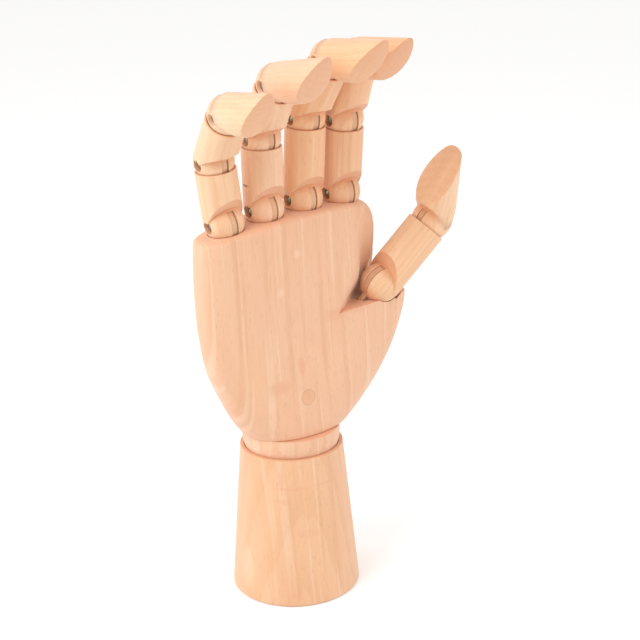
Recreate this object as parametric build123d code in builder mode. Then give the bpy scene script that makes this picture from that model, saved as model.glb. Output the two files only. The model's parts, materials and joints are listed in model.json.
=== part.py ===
from build123d import *
import math
import os

os.makedirs("parts", exist_ok=True)

# A life-size jointed wooden hand for artists, standing on its forearm.
# Millimetres, +Z up. The origin is the middle of the forearm's underside.
# The palm faces -Y, and the thumb is on the +X side.

# Forearm
forearm_height = 63.0
forearm_foot_radius = 26.4
forearm_rim_radius = 21.0
forearm_edge_round = 0.8
rim_edge_round = 0.4

# Wrist ball, and the rod that pulls it into the forearm
wrist_ball_radius = 20.0
wrist_ball_rise = 5.5
wrist_ball_height = forearm_height + wrist_ball_rise
wrist_seat_gap = 0.3
tenon_radius = 9.0
tenon_length = 24.0
tenon_gap = 0.05
stud_head_radius = 4.2
stud_seat_gap = 0.2
cup_washer_thickness = 1.0
cup_washer_mouth_angle = 46.0
rod_radius = 2.0
rod_running_gap = 0.1
rod_swing_angle = 21.0
spring_pocket_radius = 9.0
spring_pocket_depth = 24.0
spring_wire = 1.5
spring_mean_radius = 5.6
spring_turns = 4
spring_height = 14.0
spring_end_gap = 0.1
washer_radius = 7.6
washer_thickness = 1.2
nut_width = 8.0
nut_height = 4.0
nut_gap = 0.3
rod_stub = 2.0

# Palm, and the web that carries the thumb's base ball
palm_heel_rise = 2.1
palm_heel_height = wrist_ball_height + palm_heel_rise
palm_height = 89.6
palm_top_height = palm_heel_height + palm_height
palm_width_left = 40.2
palm_width_right = 51.5
palm_half_depth = 17.0
palm_arch_radius = 256.0
palm_arch_middle = 10.0
palm_top_round = 2.4
thumb_web_rise = 45.4
thumb_web_height = palm_heel_height + thumb_web_rise
thumb_web_slope_angle = 4.0
relief_top_rise = 10.0
palm_heel_round = 0.8
plug_radius = 3.0
plug_floor = 11.0
plug_rise = 16.4
plug_height = palm_heel_height + plug_rise
plug_side = -1.5
cross_dowel_radius = 2.0
cross_dowel_length = 21.0

# Fingers
finger_radius = 8.0
thumb_radius = 8.4
ball_shrink = 0.2
socket_gap = 0.3
finger_pitch = 18.5
finger_row_middle = 0.6
knuckle_rise = 3.5
digit_names = ["little", "ring", "middle", "index", "thumb"]
proximal_lengths = [25.0, 28.1, 32.4, 30.1, 33.0]
middle_lengths = [25.8, 25.7, 29.1, 26.5, 0.0]
distal_lengths = [33.5, 37.5, 36.5, 36.0, 33.0]

# The pose of the photograph, in degrees
rest_splay_angles = [-7.5, -1.0, 1.4, 0.0, 0.0]
rest_knuckle_angles = [0.5, 1.0, 3.8, 5.9, 0.0]
rest_middle_angles = [36.5, 28.2, 29.9, 15.1, 0.0]
rest_end_angles = [44.5, 49.8, 50.0, 62.4, 39.0]

# Thumb: where its base ball sits, and how its base axis stands
thumb_side = 40.4
thumb_front = 9.0
thumb_seat_rise = 7.7
thumb_height = thumb_web_height + thumb_seat_rise
thumb_lean_angle = 41.5
thumb_tilt_angle = 12.6
thumb_turn_angle = -75.5

# Finger joints
tongue_thickness = 2.3
kerf_width = 3.0
tongue_shift = 0.15
tongue_head_inset = 0.5
tongue_head_gap = 0.25
tongue_stem_width = 6.4
tongue_stem_length = 6.5
knuckle_stem_length = 17.0
mortise_gap = 0.05
rivet_radius = 1.0
rivet_running_gap = 0.05
rivet_head_radius = 2.0
rivet_head_height = 1.0
rivet_pocket_radius = 2.4
rivet_pocket_depth = 2.4
rivet_end_inset = 2.5
tail_pin_radius = 1.0
tail_pin_length = 9.4
tail_pin_gap = 0.15
tail_pin_inset = 3.5
splay_limit_angle = 4.0
splay_middle_angles = [-5.0, -1.0, 1.4, 0.0, 0.0]
mortise_side_gap = 0.3

# Shapes of the finger pieces, as shares of the finger's radius
shoulder_share = 1.23
shoulder_hollow_share = 0.07
rim_drop_share = 0.42
kerf_front_share = 0.7
kerf_back_share = 0.3
pad_cut_share = 2.6
pad_tip_share = 0.75
tip_round_share = 0.3
end_edge_round = 0.35

# How far down the rivet's head its dome starts, as a share of the head's height
rivet_rim_share = 1 / 3

# One overrun serves all cuts
overrun = 2.0


def ball_radius(radius):
    return radius - ball_shrink


def knuckle_place(index, splay):
    """The knuckle balls stand along a shallow arch, the thumb's ball on the web."""
    if digit_names[index] == "thumb":
        base = Location((thumb_side, -thumb_front, thumb_height))
        base = base * Rotation(0, thumb_lean_angle, 0) * Rotation(thumb_tilt_angle, 0, 0)
        return base * Rotation(0, splay, 0) * Rotation(0, 0, thumb_turn_angle)
    finger_count = len(digit_names) - 1
    x = finger_row_middle + finger_pitch * (index - (finger_count - 1) / 2)
    arch_radius = palm_arch_radius + knuckle_rise
    arch_drop = arch_radius - math.sqrt(arch_radius**2 - (x - palm_arch_middle) ** 2)
    z = palm_top_height + knuckle_rise - arch_drop
    return Location((x, 0, z)) * Rotation(0, splay, 0)


def flexed(place, angle):
    return place * Rotation(angle, 0, 0)


def along(place, length):
    return place * Location((0, 0, length))


def local_plane(place, origin=(0, 0, 0), x_dir=(1, 0, 0), z_dir=(0, 0, 1)):
    """A plane given in the axes of a joint: x along the rivet, y to the back, z along the digit."""
    return Plane(place * Location(Plane(origin=origin, x_dir=x_dir, z_dir=z_dir)))


def side_plane(place):
    """The plane that the digit bends in: its x runs to the palm side, its y along the digit."""
    return local_plane(place, x_dir=(0, -1, 0), z_dir=(-1, 0, 0))


def digit_axis(place):
    return Axis(Plane(place).origin, Plane(place).z_dir)


def bone(place, radius, length, has_pad):
    """One wooden finger piece, from its ball up to its socket or its fingertip."""
    ball = ball_radius(radius)
    side = side_plane(place)
    top = length if has_pad else length - rim_drop_share * radius
    reach = radius + overrun
    shoulder = shoulder_share * reach
    hollow = shoulder_hollow_share * radius
    kerf_front = kerf_front_share * radius
    kerf_back = kerf_back_share * radius
    with BuildPart() as piece:
        with BuildSketch(Plane(place)):
            Circle(radius)
        extrude(amount=top)
        end_edge = piece.edges().group_by(digit_axis(place))[-1]
        fillet(end_edge, radius=tip_round_share * radius if has_pad else end_edge_round)
        # The palm side is cut back to a slanting shoulder, which clears the next piece as it bends
        with BuildSketch(side):
            with BuildLine():
                shoulder_line = ThreePointArc(
                    (0, 0),
                    (reach / 2 - hollow, shoulder / 2 + hollow),
                    (reach, shoulder),
                )
                Polyline(shoulder_line @ 1, (reach, -overrun), (0, -overrun), (0, 0))
            make_face()
        extrude(amount=reach, both=True, mode=Mode.SUBTRACT)
        if has_pad:
            # The fingertip is sliced off flat on the palm side
            pad = pad_cut_share * radius
            tip = pad_tip_share * radius
            run = overrun * (radius + tip) / pad
            with BuildSketch(side):
                with BuildLine():
                    Polyline(
                        (radius + run, length - pad - overrun),
                        (-tip - run, length + overrun),
                        (radius + run, length + overrun),
                        close=True,
                    )
                make_face()
            extrude(amount=reach, both=True, mode=Mode.SUBTRACT)
        else:
            # A hollow seat for the next ball, with a snug slot for the tongue below it
            with Locations(along(place, length)):
                Sphere(ball + socket_gap, mode=Mode.SUBTRACT)
            with BuildSketch(local_plane(along(place, length), origin=(-tongue_shift, 0, 0))):
                Rectangle(tongue_thickness + 2 * mortise_gap, tongue_stem_width + 2 * mortise_gap)
            extrude(amount=-radius - tongue_stem_length, mode=Mode.SUBTRACT)
        with Locations(place):
            Sphere(ball)
        # A saw kerf takes the tongue, closed round its head at the inner end
        with BuildSketch(side):
            Circle(ball - tongue_head_inset + tongue_head_gap)
            with BuildLine():
                Polyline(
                    (-reach, kerf_back),
                    (0, kerf_back),
                    (0, kerf_front),
                    (reach, kerf_front),
                    (reach, -reach),
                    (-reach, -reach),
                    close=True,
                )
            make_face()
        extrude(amount=kerf_width / 2, both=True, mode=Mode.SUBTRACT)
        # The rivet goes in from one cheek and ends blind in the other
        with BuildSketch(local_plane(place, origin=(-radius, 0, 0), x_dir=(0, 1, 0), z_dir=(1, 0, 0))):
            Circle(rivet_radius)
        extrude(amount=2 * radius - rivet_end_inset, mode=Mode.SUBTRACT)
        with BuildSketch(local_plane(place, origin=(-radius, 0, 0), x_dir=(0, 1, 0), z_dir=(1, 0, 0))):
            Circle(rivet_pocket_radius)
        extrude(amount=rivet_pocket_depth, mode=Mode.SUBTRACT)
    return piece


def tail_drop(radius):
    """How far below its ball's middle a knuckle's tail pin lies."""
    return radius + knuckle_stem_length - tail_pin_inset


def tongue(place, radius, stem_length, has_tail_hole=False):
    """A flat wooden tongue: a round head on the rivet, and a stem set in the piece below.

    A knuckle's longer tongue is cross-drilled near its foot for the pin that holds it in the palm.
    """
    foot = radius + stem_length
    with BuildPart() as piece:
        with BuildSketch(side_plane(place).offset(tongue_shift)):
            Circle(ball_radius(radius) - tongue_head_inset)
            with Locations((0, -foot / 2)):
                Rectangle(tongue_stem_width, foot)
            Circle(rivet_radius + rivet_running_gap, mode=Mode.SUBTRACT)
        extrude(amount=tongue_thickness / 2, both=True)
        if has_tail_hole:
            with BuildSketch(
                local_plane(place, origin=(-tongue_shift, 0, -tail_drop(radius)), z_dir=(0, -1, 0))
            ):
                Circle(tail_pin_radius)
            extrude(amount=tongue_stem_width, both=True, mode=Mode.SUBTRACT)
    return piece


def tail_pin(place, radius):
    with BuildPart() as piece:
        with BuildSketch(
            local_plane(place, origin=(-tongue_shift, 0, -tail_drop(radius)), z_dir=(0, -1, 0))
        ):
            Circle(tail_pin_radius)
        extrude(amount=tail_pin_length / 2, both=True)
    return piece


def rivet(place, radius):
    """A steel rivet with a low domed head, sunk in its pocket."""
    head_seat = -radius + rivet_pocket_depth
    far_end = radius - rivet_end_inset
    rivet_plane = local_plane(place, z_dir=(0, -1, 0))
    with BuildPart() as piece:
        with BuildSketch(rivet_plane):
            with BuildLine():
                shank = Polyline(
                    (head_seat - rivet_head_height, 0),
                    (far_end, 0),
                    (far_end, rivet_radius),
                    (head_seat, rivet_radius),
                    (head_seat, rivet_head_radius),
                    (head_seat - rivet_rim_share * rivet_head_height, rivet_head_radius),
                )
                Spline(
                    shank @ 1,
                    shank @ 0,
                    tangents=[(-rivet_head_height, -rivet_head_height), (0, -1)],
                )
            make_face()
        revolve(axis=Axis(rivet_plane.origin, rivet_plane.x_dir))
    return piece


def keep(piece, name):
    piece.part.label = name
    export_step(piece.part, "parts/" + name + ".step")


# Forearm: a turned cone with a hollow seat on top and a spring pocket underneath
with BuildPart() as forearm:
    with BuildSketch(Plane.XZ):
        with BuildLine():
            Polyline(
                (0, 0),
                (forearm_foot_radius, 0),
                (forearm_rim_radius, forearm_height),
                (0, forearm_height),
                close=True,
            )
        make_face()
    revolve(axis=Axis.Z)
    fillet(forearm.edges().filter_by(GeomType.CIRCLE).sort_by(Axis.Z)[0], radius=forearm_edge_round)
    fillet(forearm.edges().filter_by(GeomType.CIRCLE).sort_by(Axis.Z)[-1], radius=rim_edge_round)
    with Locations((0, 0, wrist_ball_height)):
        Sphere(wrist_ball_radius + wrist_seat_gap, mode=Mode.SUBTRACT)
    with BuildSketch(Plane.XY):
        Circle(rod_radius + rod_running_gap)
    extrude(amount=forearm_height, mode=Mode.SUBTRACT)
    with BuildSketch(Plane.XY):
        Circle(spring_pocket_radius)
    extrude(amount=spring_pocket_depth, mode=Mode.SUBTRACT)
keep(forearm, "forearm")

# Spring pack under the forearm: spring, washer and nut on the stud's lower end
spring_foot = spring_pocket_depth - spring_height
spring_rise = spring_height - spring_wire - 2 * spring_end_gap
half_turns = 2 * spring_turns


def spring_point(turns):
    """A point on the coil's middle line, and the direction of the wire there."""
    angle = 2 * math.pi * turns
    place = Vector(
        spring_mean_radius * math.cos(angle),
        spring_mean_radius * math.sin(angle),
        spring_foot + spring_end_gap + spring_wire / 2 + spring_rise * turns / spring_turns,
    )
    slope = spring_rise / spring_turns / (2 * math.pi * spring_mean_radius)
    return place, Vector(-math.sin(angle), math.cos(angle), slope).normalized()


def biarc_middle(start, start_way, end, end_way):
    """Where the two arcs meet that leave and reach two points in the given directions."""
    span = end - start
    ways = start_way + end_way
    lead = span.dot(ways)
    spread = 2 * (1 - start_way.dot(end_way))
    reach = (math.sqrt(lead**2 + spread * span.dot(span)) - lead) / spread
    before = start + start_way * reach
    after = end - end_way * reach
    return (before + after) * 0.5, (after - before).normalized()


with BuildPart() as spring:
    with BuildLine():
        for half in range(half_turns):
            start, start_way = spring_point(half / 2)
            end, end_way = spring_point((half + 1) / 2)
            middle, middle_way = biarc_middle(start, start_way, end, end_way)
            TangentArc(start, middle, tangent=start_way)
            TangentArc(middle, end, tangent=middle_way)
    with BuildSketch(Plane(origin=spring_point(0)[0], z_dir=spring_point(0)[1])):
        Circle(spring_wire / 2)
    sweep()
keep(spring, "wrist_spring")
samples_a_turn = 24
spring_samples = [
    spring_point(step / samples_a_turn)[0] for step in range(samples_a_turn * spring_turns + 1)
]
spring_gap = min(
    (spring_samples[low] - spring_samples[high]).length
    for low in range(len(spring_samples))
    for high in range(low + samples_a_turn // 2, len(spring_samples))
)
print("least gap of the spring to itself", round(spring_gap - spring_wire, 2))

with BuildPart() as washer:
    with BuildSketch(Plane.XY.offset(spring_foot - washer_thickness)):
        Circle(washer_radius)
        Circle(rod_radius + wrist_seat_gap, mode=Mode.SUBTRACT)
    extrude(amount=washer_thickness)
keep(washer, "wrist_washer")

nut_top = spring_foot - washer_thickness - nut_gap
with BuildPart() as nut:
    with BuildSketch(Plane.XY.offset(nut_top - nut_height)):
        RegularPolygon(radius=nut_width / 2, side_count=6, major_radius=False)
        Circle(rod_radius, mode=Mode.SUBTRACT)
    extrude(amount=nut_height)
keep(nut, "wrist_nut")

# Stud: a steel rod whose round head turns and tilts at the middle of the wrist ball
with BuildPart() as stud:
    with Locations((0, 0, wrist_ball_height)):
        Sphere(stud_head_radius)
    with BuildSketch(Plane.XY.offset(nut_top - nut_height - rod_stub)):
        Circle(rod_radius)
    extrude(amount=wrist_ball_height - nut_top + nut_height + rod_stub)
keep(stud, "wrist_stud")

# Cup washer: it spreads the pull of the stud's head over the wood of the wrist ball
cup_inner_radius = stud_head_radius + stud_seat_gap
cup_outer_radius = cup_inner_radius + cup_washer_thickness
mouth_sine = math.sin(math.radians(cup_washer_mouth_angle))
mouth_cosine = math.cos(math.radians(cup_washer_mouth_angle))
with BuildPart() as cup_washer:
    with BuildSketch(Plane.XZ):
        with BuildLine():
            inner = RadiusArc(
                (cup_inner_radius, wrist_ball_height),
                (cup_inner_radius * mouth_sine, wrist_ball_height - cup_inner_radius * mouth_cosine),
                cup_inner_radius,
            )
            outer = RadiusArc(
                (cup_outer_radius, wrist_ball_height),
                (cup_outer_radius * mouth_sine, wrist_ball_height - cup_outer_radius * mouth_cosine),
                cup_outer_radius,
            )
            Line(inner @ 0, outer @ 0)
            Line(inner @ 1, outer @ 1)
        make_face()
    revolve(axis=Axis.Z)
keep(cup_washer, "wrist_cup_washer")

# Wrist ball: seated in the forearm, with a tenon that is doweled into the palm
ball_cup_radius = cup_outer_radius + stud_seat_gap
mouth_reach = wrist_ball_radius + overrun
mouth_half_width = mouth_reach * math.tan(math.radians(rod_swing_angle)) + rod_radius
with BuildPart() as wrist_ball:
    with Locations((0, 0, wrist_ball_height)):
        Sphere(wrist_ball_radius)
    split(bisect_by=Plane.XY.offset(palm_heel_height), keep=Keep.BOTTOM)
    with BuildSketch(Plane.XY.offset(palm_heel_height)):
        Circle(tenon_radius)
    extrude(amount=tenon_length)
    # The stud drops in from above, onto a round cup with a flared mouth below it
    with Locations((0, 0, wrist_ball_height)):
        Sphere(ball_cup_radius, mode=Mode.SUBTRACT)
    with BuildSketch(Plane.XY.offset(wrist_ball_height)):
        Circle(ball_cup_radius)
    extrude(amount=palm_heel_height + tenon_length - wrist_ball_height, mode=Mode.SUBTRACT)
    with BuildSketch(Plane.XZ):
        with BuildLine():
            Polyline(
                (0, wrist_ball_height),
                (rod_radius, wrist_ball_height),
                (mouth_half_width, wrist_ball_height - mouth_reach),
                (0, wrist_ball_height - mouth_reach),
                close=True,
            )
        make_face()
    revolve(axis=Axis.Z, mode=Mode.SUBTRACT)
    with BuildSketch(Plane.XZ):
        with Locations((plug_side, plug_height)):
            Circle(cross_dowel_radius)
    extrude(amount=cross_dowel_length / 2, both=True, mode=Mode.SUBTRACT)
keep(wrist_ball, "wrist_ball")

# Palm outline at each height, from heel to knuckles, as shares of the palm's main sizes:
# height, little-finger side, thumb side, palm side, back, forward lean of the thumb side, squareness
palm_section_shares = [
    (0.000, 0.530, 0.485, 1.000, 0.940, 0.00, 2.10),
    (0.055, 0.625, 0.610, 0.975, 0.885, 0.07, 2.20),
    (0.120, 0.710, 0.700, 0.930, 0.835, 0.18, 2.35),
    (0.205, 0.800, 0.795, 0.870, 0.790, 0.29, 2.50),
    (0.310, 0.900, 0.893, 0.795, 0.745, 0.37, 2.70),
    (0.415, 0.955, 0.957, 0.740, 0.705, 0.43, 2.90),
    (0.500, 0.982, 0.995, 0.705, 0.675, 0.47, 3.00),
    (0.610, 1.000, 1.000, 0.680, 0.660, 0.41, 3.10),
    (0.790, 1.000, 0.895, 0.640, 0.635, 0.18, 3.30),
    (0.920, 0.985, 0.842, 0.618, 0.620, 0.06, 3.40),
    (1.050, 0.955, 0.815, 0.600, 0.610, 0.00, 3.50),
]
outline_points = 20


def palm_outline(left, right, front, back, lean, squareness):
    """Points round one section, rounder at the heel and squarer towards the knuckles."""
    points = []
    for step in range(outline_points):
        angle = 2 * math.pi * step / outline_points
        across = math.copysign(abs(math.cos(angle)) ** (2 / squareness), math.cos(angle))
        through = math.copysign(abs(math.sin(angle)) ** (2 / squareness), math.sin(angle))
        x = across * (palm_width_right * right if across > 0 else palm_width_left * left)
        y = through * palm_half_depth * (back if through > 0 else front)
        if x > 0:
            y -= lean * palm_half_depth * across**2
        points.append((x, y))
    return points


# The space over the thumb's web: it leaves a hollowed palm edge beside the index finger.
# Each row is a point of the cut, as shares of the palm's width and half depth.
web_cut_shares = [(0.10, -1.15), (0.38, -0.62), (0.64, -0.10), (0.775, 0.12), (0.66, 0.80)]
top_cut_shares = [(0.66, -0.85), (0.735, -0.50), (0.775, -0.05), (0.780, 0.12), (0.70, 0.72)]
cut_side_share = 1.5
cut_side = palm_width_right * cut_side_share
cut_depth = 2 * palm_half_depth


def relief_outline(shares):
    return [(palm_width_right * across, palm_half_depth * through) for across, through in shares]


with BuildPart() as web_relief:
    for base, shares in (
        (Plane.XY.offset(thumb_web_height).rotated((0, -thumb_web_slope_angle, 0)), web_cut_shares),
        (Plane.XY.offset(palm_top_height + relief_top_rise), top_cut_shares),
    ):
        outline = relief_outline(shares)
        with BuildSketch(base):
            with BuildLine():
                edge = Spline(outline)
                Polyline(
                    edge @ 1,
                    (outline[-1][0], cut_depth),
                    (cut_side, cut_depth),
                    (cut_side, -cut_depth),
                    (outline[0][0], -cut_depth),
                    edge @ 0,
                )
            make_face()
    loft(ruled=True)

with BuildPart() as palm_blank:
    for height, left, right, front, back, lean, squareness in palm_section_shares:
        with BuildSketch(Plane.XY.offset(palm_heel_height + palm_height * height)):
            with BuildLine():
                Spline(palm_outline(left, right, front, back, lean, squareness), periodic=True)
            make_face()
    loft()
    fillet(palm_blank.faces().sort_by(Axis.Z)[0].edges(), radius=palm_heel_round)
    add(web_relief.part, mode=Mode.SUBTRACT)
    # The top follows the arch of the knuckles
    with BuildSketch(Plane.XZ):
        with Locations((palm_arch_middle, palm_top_height - palm_arch_radius)):
            Circle(2 * palm_arch_radius)
            Circle(palm_arch_radius, mode=Mode.SUBTRACT)
    extrude(amount=cut_depth, both=True, mode=Mode.SUBTRACT)
    fillet(palm_blank.faces().sort_by(Axis.Z)[-1].edges(), radius=palm_top_round)


def knuckle_seat(place, radius):
    """What a digit's joint takes out of the palm: a round seat, and a slot that widens with depth.

    The tongue swings in the slot about the middle of the ball, and its tail pin rides in a groove.
    """
    foot = radius + knuckle_stem_length + mortise_side_gap
    edge_drop = radius * math.sin(math.radians(splay_limit_angle)) + mortise_side_gap
    mouth_half = tongue_thickness / 2 + mortise_side_gap
    foot_half = mouth_half + foot * math.tan(math.radians(splay_limit_angle))
    pin_depth = tail_drop(radius)
    swing = splay_limit_angle + math.degrees(tail_pin_gap / pin_depth)
    face = local_plane(place, origin=(-tongue_shift, 0, 0), z_dir=(0, -1, 0))
    pin_path = CenterArc((0, 0), pin_depth, -90 - swing, 2 * swing)
    with BuildPart() as seat:
        with Locations(place):
            Sphere(ball_radius(radius) + socket_gap)
        # Room for the lower edge of the digit, which dips as the digit leans to a side
        with BuildSketch(local_plane(place, origin=(0, 0, -edge_drop))):
            Circle(radius + edge_drop)
        extrude(amount=radius)
        with BuildSketch(face):
            with BuildLine():
                Polyline(
                    (-mouth_half, 0),
                    (mouth_half, 0),
                    (foot_half, -foot),
                    (-foot_half, -foot),
                    close=True,
                )
            make_face()
        extrude(amount=tongue_stem_width / 2 + mortise_side_gap, both=True)
        with BuildSketch(face):
            SlotArc(pin_path, height=2 * (tail_pin_radius + tail_pin_gap))
        extrude(amount=tail_pin_length / 2 + mortise_side_gap, both=True)
    return seat


digit_radii = [finger_radius, finger_radius, finger_radius, finger_radius, thumb_radius]
knuckle_seats = [
    knuckle_seat(knuckle_place(index, splay_middle_angles[index]), digit_radii[index]) for index in range(5)
]

with BuildPart() as palm:
    add(palm_blank.part)
    for seat in knuckle_seats:
        add(seat.part, mode=Mode.SUBTRACT)
    # Hole for the wrist ball's tenon, and a cross hole that ends in the plug's wider pocket
    with BuildSketch(Plane.XY.offset(palm_heel_height)):
        Circle(tenon_radius + tenon_gap)
    extrude(amount=tenon_length + mortise_side_gap, mode=Mode.SUBTRACT)
    with BuildSketch(Plane.XZ.offset(-cross_dowel_length / 2)):
        with Locations((plug_side, plug_height)):
            Circle(cross_dowel_radius)
    extrude(amount=cross_dowel_length / 2 + palm_half_depth, mode=Mode.SUBTRACT)
    with BuildSketch(Plane.XZ.offset(plug_floor)):
        with Locations((plug_side, plug_height)):
            Circle(plug_radius)
    extrude(amount=palm_half_depth, mode=Mode.SUBTRACT)
keep(palm, "palm")

with BuildPart() as plug:
    with BuildSketch(Plane.XZ.offset(plug_floor)):
        with Locations((plug_side, plug_height)):
            Circle(plug_radius)
    extrude(amount=palm_half_depth)
    add(palm_blank.part, mode=Mode.INTERSECT)
keep(plug, "palm_plug")

with BuildPart() as cross_dowel:
    with BuildSketch(Plane.XZ):
        with Locations((plug_side, plug_height)):
            Circle(cross_dowel_radius)
    extrude(amount=cross_dowel_length / 2, both=True)
keep(cross_dowel, "wrist_cross_dowel")

# Fingers and thumb, each built up from its knuckle in the pose that it stands in
for index, name in enumerate(digit_names):
    radius = digit_radii[index]
    link = knuckle_place(index, rest_splay_angles[index])
    keep(tongue(link, radius, knuckle_stem_length, has_tail_hole=True), name + "_knuckle_tongue")
    keep(tail_pin(link, radius), name + "_tail_pin")
    keep(rivet(flexed(link, rest_knuckle_angles[index]), radius), name + "_knuckle_rivet")
    place = flexed(link, rest_knuckle_angles[index])
    keep(bone(place, radius, proximal_lengths[index], False), name + "_proximal")
    place = along(place, proximal_lengths[index])
    if name != "thumb":
        keep(tongue(place, radius, tongue_stem_length), name + "_middle_tongue")
        place = flexed(place, rest_middle_angles[index])
        keep(rivet(place, radius), name + "_middle_rivet")
        keep(bone(place, radius, middle_lengths[index], False), name + "_middle")
        place = along(place, middle_lengths[index])
    keep(tongue(place, radius, tongue_stem_length), name + "_end_tongue")
    place = flexed(place, rest_end_angles[index])
    keep(rivet(place, radius), name + "_end_rivet")
    keep(bone(place, radius, distal_lengths[index], True), name + "_distal")
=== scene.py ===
import json
import math

import bmesh
import bpy
from mathutils import Matrix, Vector


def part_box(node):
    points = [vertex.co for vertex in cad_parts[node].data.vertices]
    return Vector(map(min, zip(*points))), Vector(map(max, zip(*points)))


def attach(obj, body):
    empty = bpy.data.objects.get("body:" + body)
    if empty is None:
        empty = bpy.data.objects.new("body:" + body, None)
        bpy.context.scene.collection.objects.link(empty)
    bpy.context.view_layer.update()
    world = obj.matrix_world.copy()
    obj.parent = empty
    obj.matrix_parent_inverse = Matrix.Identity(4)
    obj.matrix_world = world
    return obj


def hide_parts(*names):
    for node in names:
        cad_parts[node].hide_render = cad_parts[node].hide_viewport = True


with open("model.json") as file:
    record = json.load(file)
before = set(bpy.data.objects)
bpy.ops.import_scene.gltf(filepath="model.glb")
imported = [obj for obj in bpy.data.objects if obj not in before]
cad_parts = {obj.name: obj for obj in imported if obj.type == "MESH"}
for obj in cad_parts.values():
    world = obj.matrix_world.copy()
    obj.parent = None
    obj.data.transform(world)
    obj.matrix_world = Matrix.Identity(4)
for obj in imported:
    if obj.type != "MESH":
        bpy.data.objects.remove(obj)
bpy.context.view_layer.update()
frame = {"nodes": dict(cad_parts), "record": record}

# A life-size jointed wooden hand on its forearm, in metres, +Z up.
# The palm faces -Y and the thumb is on the +X side.

MM = 0.001
WHITE = (1.0, 1.0, 1.0, 1.0)
QUAD = 4

# Camera, fitted to the photograph: where it looks, from how far, and its lens
CAMERA_TARGET = Vector((10.65, -7.74, 114.57)) * MM
CAMERA_DISTANCE = 636.56 * MM
CAMERA_AZIMUTH = math.radians(-36.0)
CAMERA_PITCH = math.radians(20.31)
CAMERA_ROLL = math.radians(-1.73)
CAMERA_LENS = 90.0
CAMERA_NEAR = 10.0 * MM
SENSOR_WIDTH = 36.0

# The room, and the lamps: name, how far right, up and back of the target in metres, size, power
WORLD_STRENGTH = 0.78
WORLD_COLOUR = (1.0, 0.995, 0.985, 1.0)
LAMPS = [
    ("key_light", (-0.55, 0.45, 0.75), (0.5, 0.5), 4.2),
    ("left_light", (-0.8, 0.1, -0.15), (0.35, 0.7), 1.6),
    ("right_light", (0.8, 0.15, 0.1), (0.35, 0.7), 1.6),
]
FLOOR_GREY = (0.90, 0.90, 0.90, 1.0)
FLOOR_ROUGHNESS = 0.7
FLOOR_SHINE = 0.1
FLOOR_LIFT = 0.22
FLOOR_SIZE = 6.0
FLOOR_DROP = 0.2 * MM

# Wood colours
FLECK_BROWN = (0.560, 0.270, 0.130)
STAIN_RED = (0.800, 0.400, 0.235)
END_GRAIN_RED = (0.760, 0.345, 0.170)
SCUFF_PALE = (0.960, 0.700, 0.500)
# Brown of the ring finger's knot, and of the painted shade in the hollow beside the thumb's ball
KNOT_AND_PAINTED_SHADE_BROWN = (0.300, 0.140, 0.070)
JOINT_BROWN = (0.420, 0.200, 0.100)
TAN_WARM = (0.860, 0.500, 0.260)

# Tones of the woods: pale, pink and tan. Each finger piece is sawn from its own stick.
PALM_TONES = ((0.86, 0.515, 0.325), (0.85, 0.48, 0.295), (0.75, 0.385, 0.215))
FOREARM_TONES = ((0.86, 0.51, 0.295), (0.845, 0.48, 0.275), (0.745, 0.385, 0.195))
TONGUE_TONES = ((0.76, 0.46, 0.27), (0.72, 0.42, 0.24), (0.60, 0.32, 0.16))
DIGIT_TONES = {
    "little": ((0.91, 0.61, 0.375), (0.89, 0.575, 0.345), (0.80, 0.45, 0.24)),
    "ring": ((0.92, 0.60, 0.385), (0.90, 0.56, 0.355), (0.82, 0.47, 0.275)),
    "middle": ((0.91, 0.55, 0.31), (0.885, 0.505, 0.28), (0.80, 0.42, 0.205)),
    "index": ((0.90, 0.54, 0.315), (0.87, 0.495, 0.28), (0.78, 0.40, 0.20)),
    "thumb": ((0.91, 0.565, 0.335), (0.895, 0.54, 0.31), (0.80, 0.44, 0.225)),
}

# Patterns in the wood: how each is stretched, with the grain on Z, its fineness, detail and roughness
RING_BEND = ((1, 1, 0.22), 38.0, 2.0, 0.45)
RING_WANDER = ((1, 1, 0.12), 140.0, 3.0, 0.6)
FIBRES = ((1, 1, 0.02), 2600.0, 3.0, 0.65)
RAY_DASHES = ((1, 1, 0.13), 2100.0, 1.0, 0.4)
CLOUDS = ((1, 1, 0.35), 55.0, 3.0, 0.55)
TINTS = ((1, 1, 0.5), 22.0, 2.0, 0.5)
RAGGED_EDGES = ((1, 1, 1), 420.0, 3.0, 0.6)
SHEET_STRETCH = (1, 0.14, 0.02)
STREAK_SHEETS = ((1, 1, 1), 300.0, 3.0, 0.6)
LINE_SHEETS = ((1, 1, 1), 460.0, 1.0, 0.4)
LINE_SHIFT = (3.1, 1.7, 0.0)
SEED_SHIFT = Vector((0.37, 0.21, 0.53))

# Growth rings: how round they stay along the grain, how far they bend, and each ring's rise and fall
PITH_STRETCH = (1, 1, 0.045)
BEND_WIDTH = 8.5 * MM
WANDER_WIDTH = 0.9 * MM
RING_RISE = (0.25, 0.93)
RING_FALL = (0.95, 1.0)

# Where each pattern starts and is full, and how much of its colour it then lays on
TINT_RAMP = (0.35, 0.65)
STREAK_RAMP = (0.50, 0.72)
STREAK_SHARE = 0.42
LINE_RAMP = (0.58, 0.70)
LINE_SHARE = 0.28
FIBRE_RAMP = (0.50, 0.80)
FIBRE_SHARE = 0.34
DASH_RAMP = (0.66, 0.76)
DASH_SHARE = 0.30
CLOUD_RAMP = (0.50, 0.75)
CLOUD_SHARE = 0.26
END_RAMP = (0.25, 0.80)
SPOT_SPREAD = 0.6
SPOT_RAMP = (0.35 + SPOT_SPREAD / 2, 1.0 + SPOT_SPREAD / 2)

# The wood's surface
WOOD_ROUGHNESS = 0.43
ROUGHNESS_FIBRE = 0.16
ROUGHNESS_CLOUD = 0.10
WOOD_SHINE = 0.42
WOOD_SHEEN = 0.25
SHEEN_ROUGHNESS = 0.55
RELIEF_FIBRE = 0.6
RELIEF_DASH = -0.5
RELIEF_RING = 0.25
RELIEF_STRENGTH = 0.16
RELIEF_DEPTH = 0.12 * MM
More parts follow.
